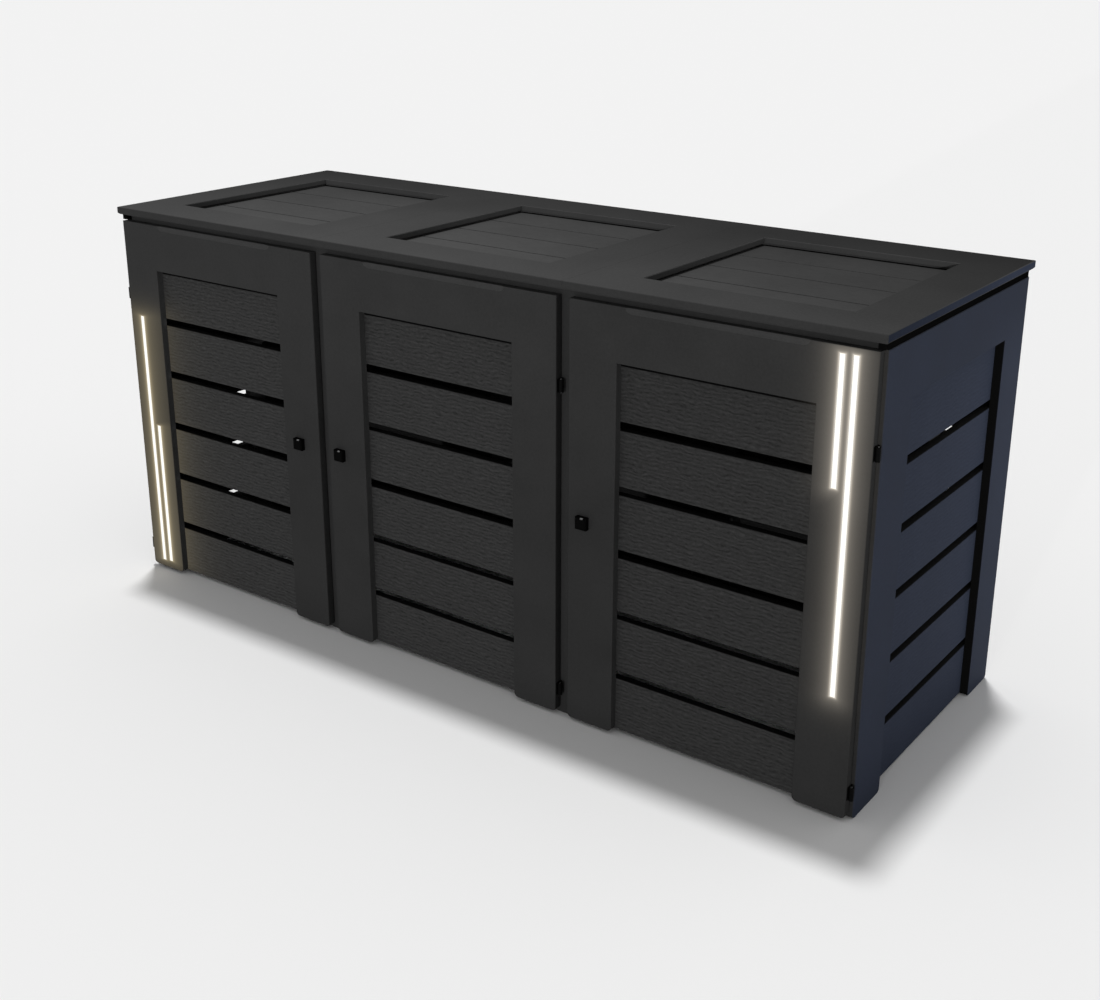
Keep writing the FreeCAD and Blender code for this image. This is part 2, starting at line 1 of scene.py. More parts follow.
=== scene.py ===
import json
import math
import bmesh
import bpy
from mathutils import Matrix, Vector


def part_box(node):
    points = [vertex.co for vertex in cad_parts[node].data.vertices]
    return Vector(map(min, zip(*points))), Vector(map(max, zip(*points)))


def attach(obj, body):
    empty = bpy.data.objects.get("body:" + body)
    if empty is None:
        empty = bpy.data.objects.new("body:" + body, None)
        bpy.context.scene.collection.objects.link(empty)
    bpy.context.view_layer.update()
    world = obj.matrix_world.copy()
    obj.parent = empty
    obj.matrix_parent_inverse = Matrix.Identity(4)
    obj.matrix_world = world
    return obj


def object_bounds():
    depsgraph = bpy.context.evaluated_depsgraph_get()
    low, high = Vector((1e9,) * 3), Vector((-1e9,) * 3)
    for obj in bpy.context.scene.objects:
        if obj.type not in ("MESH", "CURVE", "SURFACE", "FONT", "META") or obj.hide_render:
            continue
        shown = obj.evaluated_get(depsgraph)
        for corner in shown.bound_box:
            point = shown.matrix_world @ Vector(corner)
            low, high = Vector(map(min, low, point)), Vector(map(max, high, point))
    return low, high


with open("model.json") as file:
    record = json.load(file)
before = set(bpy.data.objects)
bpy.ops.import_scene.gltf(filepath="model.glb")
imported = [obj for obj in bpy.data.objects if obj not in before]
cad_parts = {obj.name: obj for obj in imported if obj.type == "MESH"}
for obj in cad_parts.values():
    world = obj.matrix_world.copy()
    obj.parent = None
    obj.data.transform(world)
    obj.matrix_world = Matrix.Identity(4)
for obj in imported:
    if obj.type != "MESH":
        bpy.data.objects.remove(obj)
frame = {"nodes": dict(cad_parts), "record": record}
nodes = frame["nodes"]
bodies = frame["record"]["behaviour"]["bodies"]
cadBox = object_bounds()
bays = ("left", "middle", "right")
x, y, z = 0, 1, 2       # numbers of the axes
print("frame loaded")


# A grey or a colour as it looks on screen, 0 to 255, turned to the renderer's linear light.
def tone(red, green=None, blue=None):
    parts = (red, red if green is None else green, red if blue is None else blue)
    linear = [((part / 255 + 0.055) / 1.055) ** 2.4 if part > 10 else part / 255 / 12.92 for part in parts]
    return (*linear, 1.0)


def darker(colour, share):
    return (*(part * share for part in colour[:3]), 1.0)


def addObject(name, data):
    thing = bpy.data.objects.new(name, data)
    bpy.context.scene.collection.objects.link(thing)
    return thing


def addNode(tree, kind, **values):
    node = tree.nodes.new(kind)
    for key, value in values.items():
        setattr(node, key, value)
    return node


cameraSetup = {
    "place": (2.295, -3.046, 1.8806),
    "tilt": 71.11,          # degrees from straight down
    "turn": 36.49,          # degrees from looking along +Y
    "focalPixels": 1443.8,  # in the 1100 pixel wide picture
    "imageWidth": 1100,
    "sensorWidth": 36.0,
    "shift": (0.00317, -0.06405),
    "farthest": 400.0,
}


def makeCamera():
    setup = cameraSetup
    data = bpy.data.cameras.new("camera")
    data.sensor_width = setup["sensorWidth"]
    data.lens = setup["focalPixels"] * setup["sensorWidth"] / setup["imageWidth"]
    data.shift_x, data.shift_y = setup["shift"]
    data.clip_end = setup["farthest"]
    camera = addObject("camera", data)
    camera.location = setup["place"]
    camera.rotation_euler = (math.radians(setup["tilt"]), 0, math.radians(setup["turn"]))
    bpy.context.scene.camera = camera


studio = {
    "floorGrey": 238,
    "floorHalf": 120.0,
    "skyLight": 0.42,
    "lamps": {              # strength, softness in degrees, where the light comes from
        "key": (1.93, 5, (-0.10, 0.14, 1.0)),       # high, so the shadow falls forward and to the right
        "front": (1.0, 1, (0.15, -1.0, 0.05)),      # level, so it falls on upright faces only
        "side": (0.85, 1, (1.0, 0.1, 0.0)),         # level, on the faces that look to the right
    },
}


def makeLamps():
    for name, (strength, softness, comesFrom) in studio["lamps"].items():
        sun = bpy.data.lights.new(name, "SUN")
        sun.energy = strength
        sun.angle = math.radians(softness)
        lamp = addObject(name, sun)
        lamp.rotation_euler = Vector(comesFrom).to_track_quat("Z", "Y").to_euler()


# Even light from all round, and a pale backdrop where a camera, glossy or transmission ray meets the sky.
def makeSky():
    world = bpy.data.worlds.new("studio")
    bpy.context.scene.world = world
    world.use_nodes = True
    tree = world.node_tree
    tree.nodes.clear()
    join = tree.links.new
    light = addNode(tree, "ShaderNodeBackground")
    light.inputs["Color"].default_value = (1, 1, 1, 1)
    light.inputs["Strength"].default_value = studio["skyLight"]
    seen = addNode(tree, "ShaderNodeBackground")
    seen.inputs["Color"].default_value = tone(studio["floorGrey"])
    seen.inputs["Strength"].default_value = 1.0
    rays = addNode(tree, "ShaderNodeLightPath").outputs
    direct = addNode(tree, "ShaderNodeMath", operation="MAXIMUM")
    join(rays["Is Camera Ray"], direct.inputs[0])
    join(rays["Is Glossy Ray"], direct.inputs[1])
    either = addNode(tree, "ShaderNodeMath", operation="MAXIMUM")
    join(direct.outputs[0], either.inputs[0])
    join(rays["Is Transmission Ray"], either.inputs[1])
    mix = addNode(tree, "ShaderNodeMixShader")
    join(either.outputs[0], mix.inputs["Fac"])
    join(light.outputs[0], mix.inputs[1])
    join(seen.outputs[0], mix.inputs[2])
    join(mix.outputs[0], addNode(tree, "ShaderNodeOutputWorld").inputs["Surface"])


def makeFloor():
    half = studio["floorHalf"]
    corners = [(-half, -half, 0), (half, -half, 0), (half, half, 0), (-half, half, 0)]
    mesh = bpy.data.meshes.new("floor")
    mesh.from_pydata(corners, [], [(0, 1, 2, 3)])
    floor = addObject("floor", mesh)
    paint = bpy.data.materials.new("floorPaint")
    paint.use_nodes = True
    shader = paint.node_tree.nodes["Principled BSDF"]
    shader.inputs["Base Color"].default_value = tone(studio["floorGrey"])
    shader.inputs["Roughness"].default_value = 1.0
    shader.inputs["Specular IOR Level"].default_value = 0.0
    mesh.materials.append(paint)


weldDistance = 1e-5     # metres


# Lowest and highest corners of each separate solid in a node's mesh.
def solidBoxes(name):
    work = bmesh.new()
    work.from_mesh(nodes[name].data)
    bmesh.ops.remove_doubles(work, verts=work.verts, dist=weldDistance)
    waiting = set(work.verts)
    boxes = []
    while waiting:
        island = [waiting.pop()]
        for vert in island:
            for edge in vert.link_edges:
                other = edge.other_vert(vert)
                if other in waiting:
                    waiting.remove(other)
                    island.append(other)
        low = tuple(min(vert.co[axis] for vert in island) for axis in (x, y, z))
        high = tuple(max(vert.co[axis] for vert in island) for axis in (x, y, z))
        boxes.append((low, high))
    work.free()
    return sorted(boxes)


# A small helper round one material's node tree. Object coordinates are in place and, one by one, in
# axes. A facing runs from -1 on faces that look against its axis to 1 on those that look along it.
class Finish:
    def __init__(self, name):
        self.material = bpy.data.materials.new(name)
        self.material.use_nodes = True
        self.tree = self.material.node_tree
        self.shader = self.tree.nodes["Principled BSDF"]
        coordinates = self.add("TexCoord").outputs
        self.place = coordinates["Object"]
        self.axes = self.split(self.place)
        self.facing = self.split(coordinates["Normal"])

    def add(self, kind, **values):
        return addNode(self.tree, "ShaderNode" + kind, **values)

    # A socket is linked, and anything else is set as the fixed value.
    def feed(self, value, slot):
        if isinstance(value, bpy.types.NodeSocket):
            self.tree.links.new(value, slot)
        else:
            slot.default_value = value

    def split(self, vector):
        node = self.add("SeparateXYZ")
        self.feed(vector, node.inputs[0])
        return node.outputs

    # Object coordinates stretched by one factor for each axis.
    def stretched(self, scale):
        node = self.add("Mapping")
        self.feed(self.place, node.inputs["Vector"])
        self.feed(scale, node.inputs["Scale"])
        return node.outputs["Vector"]

    def noise(self, vector, scale, detail, roughness):
        node = self.add("TexNoise")
        self.feed(vector, node.inputs["Vector"])
        self.feed(scale, node.inputs["Scale"])
        self.feed(detail, node.inputs["Detail"])
        self.feed(roughness, node.inputs["Roughness"])
        return node.outputs["Fac"]

    def calc(self, operation, *values, clamp=False):
        node = self.add("Math", operation=operation, use_clamp=clamp)
        for value, slot in zip(values, node.inputs):
            self.feed(value, slot)
        return node.outputs[0]

    def product(self, first, *others):
        for other in others:
            first = self.calc("MULTIPLY", first, other)
        return first

    def mean(self, first, second):
        return self.product(self.calc("ADD", first, second), 0.5)

    # How far a value is from a fixed middle, either way.
    def distance(self, value, middle):
        return self.calc("ABSOLUTE", self.calc("SUBTRACT", value, middle))

    # Goes from the first result to the second while the value crosses the span, and stops there.
    def ramp(self, value, span, results=(0.0, 1.0)):
        node = self.add("MapRange")
        self.feed(value, node.inputs["Value"])
        self.feed(span[0], node.inputs["From Min"])
        self.feed(span[1], node.inputs["From Max"])
        self.feed(results[0], node.inputs["To Min"])
        self.feed(results[1], node.inputs["To Max"])
        return node.outputs[0]

    def blend(self, factor, first, second, way="MIX"):
        node = self.add("Mix", data_type="RGBA", blend_type=way)
        for slot, value in ((0, factor), (6, first), (7, second)):      # 6 and 7 are its colours
            self.feed(value, node.inputs[slot])
        return node.outputs[2]

    def scaled(self, colour, factor):
        node = self.add("VectorMath", operation="SCALE")
        self.feed(colour, node.inputs[0])
        self.feed(factor, node.inputs["Scale"])
        return node.outputs[0]

    # Inputs of the shader, with underscores for their spaces.
    def surface(self, **values):
        for name, value in values.items():
            self.feed(value, self.shader.inputs[name.replace("_", " ")])

    def bump(self, height, distance, strength):
        node = self.add("Bump")
        self.feed(distance, node.inputs["Distance"])
        self.feed(strength, node.inputs["Strength"])
        self.feed(height, node.inputs["Height"])
        self.feed(node.outputs["Normal"], self.shader.inputs["Normal"])


paintedLightAndShade = {
    "insideShade": 0.4, "insideFacing": (0.3, 0.7),     # painted shade: faces that look into the store are dim
    "rearLift": 0.3, "rearSpan": (0.0, 0.4),            # painted light: the right end gets paler along this depth
    "topSpan": (0.88, 1.05),                            # and this fades out towards its top
    # painted cool light from the right, on faces that look right
    "coolLight": (0.83, 1.0, 1.52, 1.0), "coolFacing": (0.5, 0.8),
}


# Paints shade on the faces that look the way that inside gives, such as (y, -1) for -Y.
def paintInsideShade(finish, colour, inside):
    axis, sign = inside
    span = [sign * bound for bound in paintedLightAndShade["insideFacing"]]
    return finish.scaled(colour, finish.ramp(finish.facing[axis], span, (1.0, paintedLightAndShade["insideShade"])))


# Multiplies in the painted cool light from the right, by the given share.
def paintCoolLight(finish, colour, share):
    return finish.blend(share, colour, paintedLightAndShade["coolLight"], "MULTIPLY")


# Painted light on the right end: paler towards the back, and a cool light painted on its outer face.
def paintEndLight(finish, colour):
    rear = finish.ramp(finish.axes[y], paintedLightAndShade["rearSpan"], (0.0, paintedLightAndShade["rearLift"]))
    below = finish.ramp(finish.axes[z], paintedLightAndShade["topSpan"], (1.0, 0.0))
    lift = finish.calc("ADD", finish.product(rear, below), 1.0)
    outer = finish.ramp(finish.facing[x], paintedLightAndShade["coolFacing"])
    return paintCoolLight(finish, finish.scaled(colour, lift), outer)


slatFinish = {
    "greys": (32, 62),                  # between the strokes and on them
    "stroke": 0.0106,                   # metres from stroke to stroke up the slat
    "wander": 13.0,                     # how far the strokes stray, in radians
    "strayNoise": (25.0, 42.0, 2.0, 0.5),       # noises: scale along and across, detail, roughness
    "patchNoise": (70.0, 130.0, 1.0, 0.5),
    "fibreNoise": (190.0, 420.0, 2.0, 0.6),
    "patchSpan": (0.38, 0.66),          # the strokes come and go in patches
    "strokeTones": (0.18, 0.82),
    "fibreSpan": (0.3, 0.7), "fibreTones": (-0.14, 0.14),
    "roughness": (0.8, 0.68),
    "relief": 0.0004, "gloss": 0.02,
    "sideContrast": 0.3,                # the grain of the store's ends is fainter
    "windowTop": 0.962,                 # height of the frame's opening, with a painted shadow of its top rail under it
    "railShadowHeight": 0.0118, "railShadowBlur": 0.001, "railShadowTone": 0.05,
    "edgeShade": 0.15, "rightEdgeShade": 0.5,   # painted shade on the slats' edges in the gaps
    "edgeFacing": (0.4, 0.8),
    "bayShade": {"left": 1.04, "middle": 1.0, "right": 0.9},
    "footPaintedLight": 1.25, "footSpan": (0.02, 0.2),  # painted light: the lowest slats are a little paler
}


# Rough-sawn grain: short wavering strokes along the slat.
def grainBoard(name, along, contrast=1.0, inside=None, bay=None, rightEnd=False):
    look = slatFinish
    finish = Finish(name)

    def woodNoise(lengthways, across, detail, roughness):
        scale = [across] * 3
        scale[along] = lengthways
        return finish.noise(finish.stretched(scale), 1.0, detail, roughness)

    stray = finish.product(woodNoise(*look["strayNoise"]), look["wander"])
    rise = finish.product(finish.axes[z], 2 * math.pi / look["stroke"])
    strokes = finish.calc("SINE", finish.calc("ADD", rise, stray))
    patches = finish.ramp(woodNoise(*look["patchNoise"]), look["patchSpan"])
    bands = finish.ramp(finish.product(strokes, patches), (-1.0, 1.0), look["strokeTones"])
    fibres = finish.ramp(woodNoise(*look["fibreNoise"]), look["fibreSpan"], look["fibreTones"])
    grain = finish.calc("ADD", bands, fibres)
    tuned = finish.ramp(grain, (0.0, 1.0), (0.5 - contrast / 2, 0.5 + contrast / 2))
    colour = finish.blend(tuned, *[tone(grey) for grey in look["greys"]])

    # Painted shadow of the top rail across the slats just under the opening.
    railShadowFoot = look["windowTop"] - look["railShadowHeight"]
    railShadowSpan = (railShadowFoot, railShadowFoot + look["railShadowBlur"])
    railShadow = finish.ramp(finish.axes[z], railShadowSpan, (1.0, look["railShadowTone"]))
    # Painted shade on the edges that look up or down, in the gaps.
    gapShade = look["rightEdgeShade"] if rightEnd else look["edgeShade"]
    edge = finish.ramp(finish.calc("ABSOLUTE", finish.facing[z]), look["edgeFacing"], (1.0, gapShade))
    colour = finish.scaled(colour, finish.product(railShadow, edge))
    if inside:
        colour = paintInsideShade(finish, colour, inside)
    if bay:
        footLight = finish.ramp(finish.axes[z], look["footSpan"], (look["footPaintedLight"], 1.0))
        colour = finish.scaled(colour, finish.product(footLight, look["bayShade"][bay]))
    if rightEnd:
        colour = paintEndLight(finish, colour)
    roughness = finish.ramp(tuned, (0.0, 1.0), look["roughness"])
    finish.surface(Base_Color=colour, Roughness=roughness, Specular_IOR_Level=look["gloss"])
    finish.bump(grain, look["relief"] * contrast, 1.0)
    return finish


boardFinish = {
    # the lid rests' greys are painted shade, near black
    "frameGreys": (46, 53), "postGreys": (46, 51), "restShadeGreys": (8, 11),
    "clouds": (7.0, 3.0, 0.55), "specks": (140.0, 2.0, 0.6),    # noises: scale, detail, roughness
    "mottleSpan": (0.3, 0.7),
    "roughness": (0.62, 0.74),
    "relief": 0.00015, "reliefStrength": 0.6,
    "gloss": 0.02,
    "sideShade": 0.86,          # the ends of the store are a little darker than its doors
    "doorEdgeShade": {"left": 0.7, "middle": 0.5, "right": 0.56},    # painted shade left on the doors' outer edges
    "doorEdgeInsets": (0.002, 0.0005),
    "bayShade": {"left": 1.0, "middle": 0.98, "right": 0.93},
    "waistShade": 0.86, "waistSpan": (0.6, 0.9),        # painted shade: the stiles are darker below the middle
    "footPaintedLight": 1.16, "footSpan": (0.06, 0.24),         # and less dark at the foot, by painted light
    "revealLight": 1.35, "revealFacing": (0.5, 0.8),         # painted light: opening edges that look right are paler
    "scoopLight": 1.5, "scoopFacing": (0.02, 0.3),      # painted light also on hollows and arrises that look upward
    "rearJamb": 0.12, "jambFacing": (-0.7, -0.3),       # the right end's rear opening edge lies in the dark
    "jambDepth": (0.1, 0.2),
}


# Painted light and shade of a door frame: on its outer edges, opening and scoop, and how pale it is at each
# height.
def doorShade(finish, bay):
    look = boardFinish
    low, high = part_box(f"door_frame_{bay}")
    half = (high[x] - low[x]) / 2
    fromMiddle = finish.distance(finish.axes[x], (low[x] + high[x]) / 2)
    edgeSpan = [half - inset for inset in look["doorEdgeInsets"]]
    edge = finish.ramp(fromMiddle, edgeSpan, (1.0, look["doorEdgeShade"][bay]))
    upwardLight = finish.ramp(finish.facing[z], look["scoopFacing"], (1.0, look["scoopLight"]))
    revealLight = finish.ramp(finish.facing[x], look["revealFacing"], (1.0, look["revealLight"]))
    waist = finish.ramp(finish.axes[z], look["waistSpan"], (look["waistShade"], 1.0))
    footLight = finish.ramp(finish.axes[z], look["footSpan"], (look["footPaintedLight"], 1.0))
    return finish.product(edge, upwardLight, revealLight, waist, footLight, look["bayShade"][bay])


# Darkens the faces that look forward at the rear of the right end.
def jambShade(finish):
    look = boardFinish
    jamb = finish.ramp(finish.facing[y], look["jambFacing"], (look["rearJamb"], 1.0))
    front = finish.ramp(finish.axes[y], look["jambDepth"], (1.0, 0.0))
    return finish.calc("MAXIMUM", jamb, front)


# Plain skin with a faint mottle and a fine pebble, for frames and posts.
def smoothBoard(name, greys, share=1.0, gloss=boardFinish["gloss"], inside=None, bay=None, rightEnd=False):
    look = boardFinish
    finish = Finish(name)
    specks = finish.noise(finish.place, *look["specks"])
    mixed = finish.mean(finish.noise(finish.place, *look["clouds"]), specks)
    mottle = finish.ramp(mixed, look["mottleSpan"])
    colour = finish.blend(mottle, *[darker(tone(grey), share) for grey in greys])
    if bay:
        colour = finish.scaled(colour, doorShade(finish, bay))
    if rightEnd:
        colour = paintEndLight(finish, finish.scaled(colour, jambShade(finish)))
    if inside:
        colour = paintInsideShade(finish, colour, inside)
    roughness = finish.ramp(mixed, look["mottleSpan"], look["roughness"])
    finish.surface(Base_Color=colour, Roughness=roughness, Specular_IOR_Level=gloss)
    finish.bump(specks, look["relief"], look["reliefStrength"])
    return finish


lidFinish = {
    "frameGreys": (57, 64), "boardGreys": (65, 74),
    "edgeGreys": (49, 54),                      # painted shade: upright faces and undersides are darker than the top
    "frameDepth": (1.33, 0.68), "boardDepth": (1.25, 0.69),     # painted light: the top is paler towards its front edge
    "leftRise": (1.07, 1.46), "rightFall": (1.40, 0.78),        # and brightest left of its middle
    "topFacing": (0.6, 0.9),
    "edgeLift": (1.0, 1.9), "edgeLiftEnd": 0.3,     # painted light: the walls of the windows are paler towards the back
    "leftWall": 1.3, "rightEdge": 0.6,          # painted light and shade on the faces that look right, in the windows and at the end
    "endInsets": (0.02, 0.01), "rightFacing": (0.7, 0.9),
    "clouds": (4.0, 3.0, 0.5), "specks": (1.0, 2.0, 0.55),      # noises: scale, detail, roughness
    "frameStretch": (150.0, 150.0, 150.0), "boardStretch": (50.0, 260.0, 260.0),    # of the specks
    "mottleSpan": (0.32, 0.68),
    "roughness": (0.66, 0.8), "roughSpan": (0.3, 0.7),
    "relief": 0.00015, "reliefStrength": 0.6,
    "gloss": 0.0,
}


# Colour of the lids' upright faces and undersides, with painted light and shade.
def lidEdges(finish, mottle):
    look = lidFinish
    low, high = cadBox
    rightward = finish.ramp(finish.facing[x], look["rightFacing"])
    endSpan = [high[x] - inset for inset in look["endInsets"]]
    lift = finish.ramp(finish.axes[y], (low[y], look["edgeLiftEnd"]), look["edgeLift"])
    wall = finish.ramp(finish.axes[x], endSpan, (look["leftWall"], look["rightEdge"]))
    wall = finish.calc("ADD", finish.product(finish.calc("SUBTRACT", wall, 1.0), rightward), 1.0)
    colour = finish.blend(mottle, *[tone(grey) for grey in look["edgeGreys"]])
    colour = finish.scaled(colour, finish.product(lift, wall))
    return paintCoolLight(finish, colour, finish.product(rightward, finish.ramp(finish.axes[x], endSpan)))


# The lids' skin, with the slow change of painted light and shade over the whole top. Kind is frame or board.
def lidBoard(name, kind):
    look = lidFinish
    low, high = cadBox
    finish = Finish(name)
    specks = finish.noise(finish.stretched(look[kind + "Stretch"]), *look["specks"])
    mixed = finish.mean(finish.noise(finish.place, *look["clouds"]), specks)
    mottle = finish.ramp(mixed, look["mottleSpan"])
    depthShade = finish.ramp(finish.axes[y], (low[y], high[y]), look[kind + "Depth"])
    rise = finish.ramp(finish.axes[x], (low[x], high[x]), look["leftRise"])
    fall = finish.ramp(finish.axes[x], (low[x], high[x]), look["rightFall"])
    top = finish.blend(mottle, *[tone(grey) for grey in look[kind + "Greys"]])
    top = finish.scaled(top, finish.product(depthShade, finish.calc("MINIMUM", rise, fall)))
    colour = finish.blend(finish.ramp(finish.facing[z], look["topFacing"]), lidEdges(finish, mottle), top)
    roughness = finish.ramp(mixed, look["roughSpan"], look["roughness"])
    finish.surface(Base_Color=colour, Roughness=roughness, Specular_IOR_Level=look["gloss"])
    finish.bump(specks, look["relief"], look["reliefStrength"])
    return finish


glow = {
    "colour": {"left": (1.0, 0.83, 0.50, 1.0), "right": (1.0, 0.90, 0.76, 1.0)},
    "lip": 0.001,                               # the channel's edge beside the lens
    "halo": {"left": 0.135, "right": 0.18}, "haloSpread": 0.022,
    "rim": {"left": 0.3, "right": 0.55}, "rimSpread": 0.0022,   # spread: where light has fallen to a third
    "stretch": {"left": 2.6, "right": 1.05},    # how much wider the halo lies sideways
    "shared": {"left": 0.0, "right": 0.4},      # how far a second strip adds to the first one's light
    "reach": (-0.37, -0.30),                    # the light ends behind the doors
    "beside": 0.25,                             # share of it on the boards next to the door
}


# Light of one strip on the wood, by the distance from the strip's edge.
def stripLight(finish, side, low, high):
    half = (high[x] - low[x]) / 2 + glow["lip"]
    fromMiddle = finish.distance(finish.axes[x], (low[x] + high[x]) / 2)
    sideways = finish.calc("MAXIMUM", finish.calc("SUBTRACT", fromMiddle, half), 0.0)
    level = finish.add("Clamp")
    finish.feed(finish.axes[z], level.inputs["Value"])
    finish.feed(low[z], level.inputs["Min"])
    finish.feed(high[z], level.inputs["Max"])
    away = finish.add("CombineXYZ")
    finish.feed(finish.calc("DIVIDE", sideways, glow["stretch"][side]), away.inputs[x])
    finish.feed(finish.calc("SUBTRACT", finish.axes[z], level.outputs[0]), away.inputs[z])
    length = finish.add("VectorMath", operation="LENGTH")
    finish.feed(away.outputs[0], length.inputs[0])

    def ring(strength, spread):
        fall = finish.calc("EXPONENT", finish.calc("DIVIDE", length.outputs["Value"], -spread))
        return finish.product(fall, strength)

    halo = ring(glow["halo"][side], glow["haloSpread"])
    return finish.calc("ADD", halo, ring(glow["rim"][side], glow["rimSpread"]))


# All strips of one door, on the faces that look forward.
def addGlow(finish, side, share=1.0):
    total = 0.0
    for low, high in solidBoxes(f"led_diffusers_{side}"):
        strip = stripLight(finish, side, low, high)
        both = finish.product(finish.calc("MINIMUM", total, strip), glow["shared"][side])
        total = finish.calc("ADD", finish.calc("MAXIMUM", total, strip), both)
    forward = finish.calc("MULTIPLY", finish.facing[y], -share, clamp=True)
    near = finish.ramp(finish.axes[y], glow["reach"], (1.0, 0.0))
    light = finish.blend(finish.product(total, forward, near), (0, 0, 0, 1), glow["colour"][side])
    finish.surface(Emission_Color=light, Emission_Strength=1.0)


metals = {
    "hingeBlack": {"grey": 11, "roughness": 0.5, "metallic": 0.0, "gloss": 0.015, "stretch": "even"},
    "pinSteel": {"grey": 120, "roughness": 0.35, "metallic": 1.0, "gloss": 0.5, "stretch": "brushed"},
    "strikeSteel": {"grey": 170, "roughness": 0.35, "metallic": 1.0, "gloss": 0.5, "stretch": "brushed"},
    "ledChannel": {"grey": 190, "roughness": 0.3, "metallic": 1.0, "gloss": 0.5, "stretch": "brushed"},
    "screwSteel": {"grey": 64, "roughness": 0.38, "metallic": 1.0, "gloss": 0.5, "stretch": "even"},
}
metalMarks = {
    "even": (300.0, 300.0, 300.0), "brushed": (40.0, 900.0, 900.0),
    "noise": (1.0, 2.0, 0.5),       # scale, detail, roughness
    "change": 0.15,                 # share by which grey and roughness change
    "relief": 0.00005, "reliefStrength": 0.4,
}


def metalFinish(name):
    metal = metals[name]
    look = metalMarks
    finish = Finish(name)
    marks = finish.noise(finish.stretched(look[metal["stretch"]]), *look["noise"])
    bright = tone(metal["grey"])
    colour = finish.blend(marks, darker(bright, 1 - look["change"]), bright)
    ends = (metal["roughness"] * (1 - look["change"]), metal["roughness"] * (1 + look["change"]))
    roughness = finish.ramp(marks, (0.0, 1.0), ends)
    finish.surface(Base_Color=colour, Roughness=roughness)
    finish.surface(Metallic=metal["metallic"], Specular_IOR_Level=metal["gloss"])
    finish.bump(marks, look["relief"], look["reliefStrength"])
    return finish


knobShine = {
    # the knob's black, and the grey of its painted highlight
    "black": 8, "bright": 110,
    "aside": 0.004, "fade": (0.0025, 0.005),    # the painted highlight's place and half width, in metres
    "bevelFacing": (0.3, 0.6), "topFacing": (0.85, 0.97),
    "noise": (400.0, 2.0, 0.5),
    "roughness": (0.25, 0.35),
    "gloss": (0.004, 0.3),
}


# Black, with a painted highlight where the bevel under the top face would catch the light.
def knobFinish(bay):
    look = knobShine
    finish = Finish("knobGloss" + bay.title())
    bevel = finish.ramp(finish.facing[z], look["bevelFacing"])
    notTop = finish.ramp(finish.facing[z], look["topFacing"], (1.0, 0.0))
    low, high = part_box(f"door_knob_{bay}")
    away = finish.distance(finish.axes[x], (low[x] + high[x]) / 2 + look["aside"])
    paintedHighlight = finish.product(bevel, notTop, finish.ramp(away, look["fade"], (1.0, 0.0)))
    roughness = finish.ramp(finish.noise(finish.place, *look["noise"]), (0.0, 1.0), look["roughness"])
    colour = finish.blend(paintedHighlight, tone(look["black"]), tone(look["bright"]))
    gloss = finish.ramp(paintedHighlight, (0.0, 1.0), look["gloss"])
    finish.surface(Base_Color=colour, Roughness=roughness, Specular_IOR_Level=gloss)
    return finish


lensFinish = {
    "dark": (110, 108, 100), "light": (126, 124, 116),
    "glow": (1.0, 0.965, 0.90, 1.0), "strength": 0.95,
    "noise": (200.0, 2.0, 0.5),
    "roughness": 0.5, "gloss": 0.2,
    "relief": 0.00005, "reliefStrength": 0.3,
}


def litLens():
    look = lensFinish
    finish = Finish("litOpal")
    ripple = finish.noise(finish.place, *look["noise"])
    colour = finish.blend(ripple, tone(*look["dark"]), tone(*look["light"]))
    finish.surface(Base_Color=colour, Roughness=look["roughness"], Specular_IOR_Level=look["gloss"])
    finish.surface(Emission_Color=look["glow"], Emission_Strength=look["strength"])
    finish.bump(ripple, look["relief"], look["reliefStrength"])
    return finish


def dress(names, finish):
    for name in names:
        slots = nodes[name].data.materials
        slots.clear()
        slots.append(finish.material)


def paintEnds():
    greys, shade, contrast = boardFinish["frameGreys"], boardFinish["sideShade"], slatFinish["sideContrast"]
    inLeft, inRight = (x, 1), (x, -1)
    dress(["side_frame_left"], smoothBoard("sideSkinLeft", greys, shade, inside=inLeft))
    dress(["side_slats_left"], grainBoard("sideGrainLeft", y, contrast, inside=inLeft))
    skin = smoothBoard("sideSkinRight", greys, shade, inside=inRight, rightEnd=True)
    addGlow(skin, "right", glow["beside"])
    dress(["side_frame_right"], skin)
    dress(["side_slats_right"], grainBoard("sideGrainRight", y, contrast, inside=inRight, rightEnd=True))


def paintBack():
    inBack = (y, -1)
    skin = smoothBoard("backSkin", boardFinish["frameGreys"], inside=inBack)
    dress([f"back_frame_{bay}" for bay in bays], skin)
    dress(["back_slats"], grainBoard("backGrain", x, inside=inBack))


def paintDoors():
    for bay in bays:
        skin = smoothBoard("doorSkin" + bay.title(), boardFinish["frameGreys"], bay=bay)
        grain = grainBoard("slatGrain" + bay.title(), x, bay=bay)
        if f"led_diffusers_{bay}" in nodes:
            addGlow(skin, bay)
            addGlow(grain, bay)
        dress([f"door_frame_{bay}"], skin)
        dress([f"door_slats_{bay}"], grain)
        dress([f"door_knob_{bay}"], knobFinish(bay))


def paintLids():
    dress([f"lid_frame_{bay}" for bay in bays], lidBoard("lidSkin", "frame"))
    dress([f"lid_boards_{bay}" for bay in bays], lidBoard("lidGrain", "board"))


def paintPosts():
    posts = [name for name in nodes if "post_" in name and "hinge" not in name]
    rails = ["front_top_rail", "back_top_rail", "top_cross_rails"]
    skin = smoothBoard("postSkin", boardFinish["postGreys"])
    dress(posts + rails + ["corner_posts_back", "back_posts", "side_battens"], skin)
    # The lid rests are painted near black, as painted shade under the lids.
    dress(["lid_rests"], smoothBoard("restShade", boardFinish["restShadeGreys"], gloss=0.0))


plastics = {"catchGreys": (24, 30), "glandGreys": (18, 24), "gloss": 0.4}


